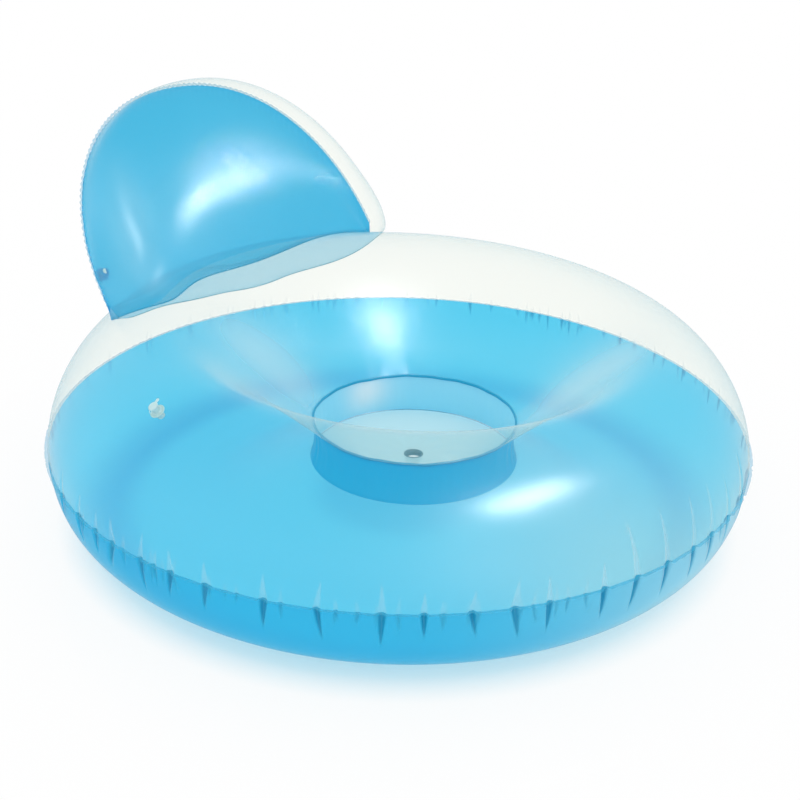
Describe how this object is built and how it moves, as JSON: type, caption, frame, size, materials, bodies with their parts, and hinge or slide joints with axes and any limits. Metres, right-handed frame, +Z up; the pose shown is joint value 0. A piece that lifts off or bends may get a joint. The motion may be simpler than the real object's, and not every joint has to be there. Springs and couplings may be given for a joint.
{
  "type": "inflatable pool lounger",
  "caption": "Round inflatable ring with a clear top, a blue underside, a seat well with a drained floor and an inflated backrest, for sitting on water.",
  "frame": {"origin": "on the ground under the middle of the ring", "axes": "+Y points from the seat to the backrest, +Z points up"},
  "size_m": [1.232, 1.232, 0.6579],
  "materials": {
    "clear_vinyl": "clear glossy flexible vinyl sheet",
    "blue_vinyl": "translucent glossy blue vinyl sheet",
    "weld_vinyl": "welded double vinyl edge",
    "valve_vinyl": "moulded soft vinyl"
  },
  "bodies": {
    "ring": {"ring_top_sheet": "clear_vinyl", "ring_bottom_sheet": "blue_vinyl", "outer_weld": "weld_vinyl", "well_rim_weld": "weld_vinyl", "well_wall": "blue_vinyl", "well_floor_weld": "weld_vinyl", "well_floor": "clear_vinyl", "backrest_gusset": "clear_vinyl", "ring_valve_flange": "valve_vinyl", "ring_valve_web": "valve_vinyl"},
    "backrest": {"backrest_front_sheet": "clear_vinyl", "backrest_back_sheet": "blue_vinyl", "backrest_weld": "weld_vinyl", "backrest_valve_flange": "valve_vinyl", "backrest_valve_web": "valve_vinyl"},
    "ring_valve": {"ring_valve_neck": "valve_vinyl", "ring_valve_tether": "valve_vinyl"},
    "ring_stopper": {"ring_valve_stopper": "valve_vinyl"},
    "ring_flap": {"ring_valve_flap": "valve_vinyl"},
    "backrest_valve": {"backrest_valve_neck": "valve_vinyl", "backrest_valve_tether": "valve_vinyl"},
    "backrest_stopper": {"backrest_valve_stopper": "valve_vinyl"},
    "backrest_flap": {"backrest_valve_flap": "valve_vinyl"}
  },
  "joints": [
    {"name": "backrest_tilt", "type": "hinge", "parent": "ring", "child": "backrest", "pos_m": [0, 0.374, 0.35605], "axis": [1, 0, 0], "range_deg": [-20, 8], "stiffness_Nm_per_rad": 12, "deforming": ["backrest_gusset"]},
    {"name": "ring_valve_press", "type": "slide", "parent": "ring", "child": "ring_valve", "axis": [-0.5584, 0.0448, 0.8284], "range_m": [-0.008, 0], "deforming": ["ring_valve_web"]},
    {"name": "ring_stopper_pull", "type": "slide", "parent": "ring_valve", "child": "ring_stopper", "axis": [-0.5584, 0.0448, 0.8284], "range_m": [0, 0.01], "deforming": ["ring_valve_tether"]},
    {"name": "ring_flap_swing", "type": "hinge", "parent": "ring_valve", "child": "ring_flap", "pos_m": [-0.4887, 0.05073, 0.31594], "axis": [0.0503, -0.9949, 0.0876], "range_deg": [0, 35], "stiffness_Nm_per_rad": 0.0002},
    {"name": "backrest_valve_press", "type": "slide", "parent": "backrest", "child": "backrest_valve", "axis": [-0.0616, 0.7592, -0.648], "range_m": [-0.008, 0], "deforming": ["backrest_valve_web"]},
    {"name": "backrest_stopper_pull", "type": "slide", "parent": "backrest_valve", "child": "backrest_stopper", "axis": [-0.0616, 0.7592, -0.648], "range_m": [0, 0.01], "deforming": ["backrest_valve_tether"]},
    {"name": "backrest_flap_swing", "type": "hinge", "parent": "backrest_valve", "child": "backrest_flap", "pos_m": [-0.30446, 0.41737, 0.40925], "axis": [-0.9926, 0.0212, 0.1192], "range_deg": [0, 35], "stiffness_Nm_per_rad": 0.0002}
  ]
}
